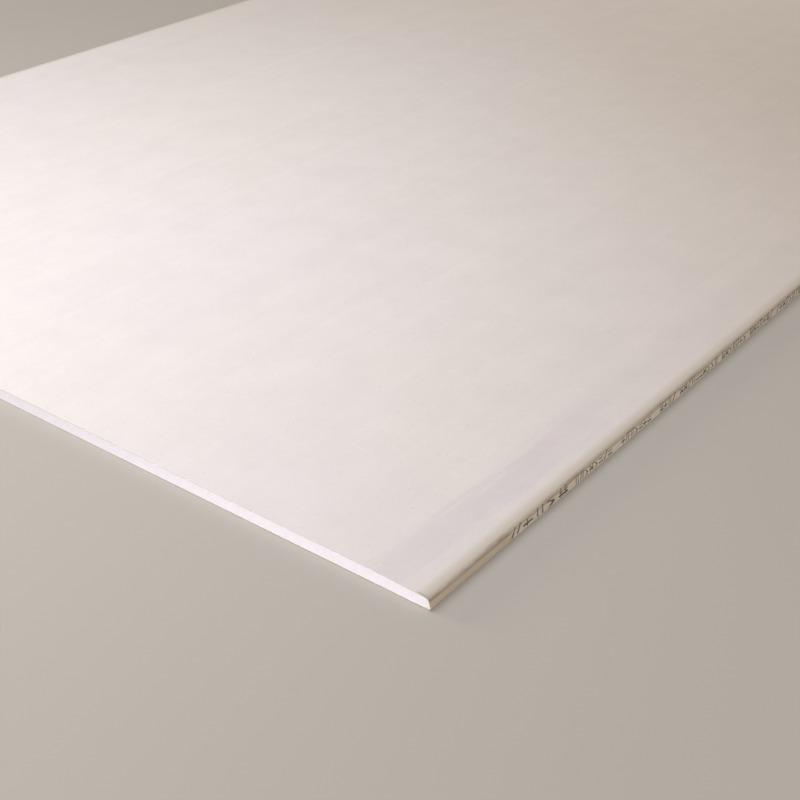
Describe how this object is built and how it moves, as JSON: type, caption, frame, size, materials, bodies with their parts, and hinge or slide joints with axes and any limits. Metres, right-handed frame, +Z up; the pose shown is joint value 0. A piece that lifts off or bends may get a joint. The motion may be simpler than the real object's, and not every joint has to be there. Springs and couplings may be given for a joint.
{
  "type": "drywall sheet",
  "caption": "Rectangular gypsum board with paper on face and back, half-round tapered long edges with a scored fold, and square sawn ends.",
  "frame": {"origin": "centre of the back face, on the surface that the board lies on", "axes": "+X along the length, +Y across the width, +Z up, out of the face"},
  "size_m": [2, 1.25, 0.0125],
  "materials": {
    "gypsum": "matt foamed gypsum, sawn or broken at the ends",
    "face_paper": "matt off-white liner paper",
    "back_paper": "matt grey-brown liner paper"
  },
  "bodies": {
    "root": {"gypsum_core": "gypsum", "face_paper": "face_paper", "back_paper": "back_paper"}
  },
  "joints": []
}
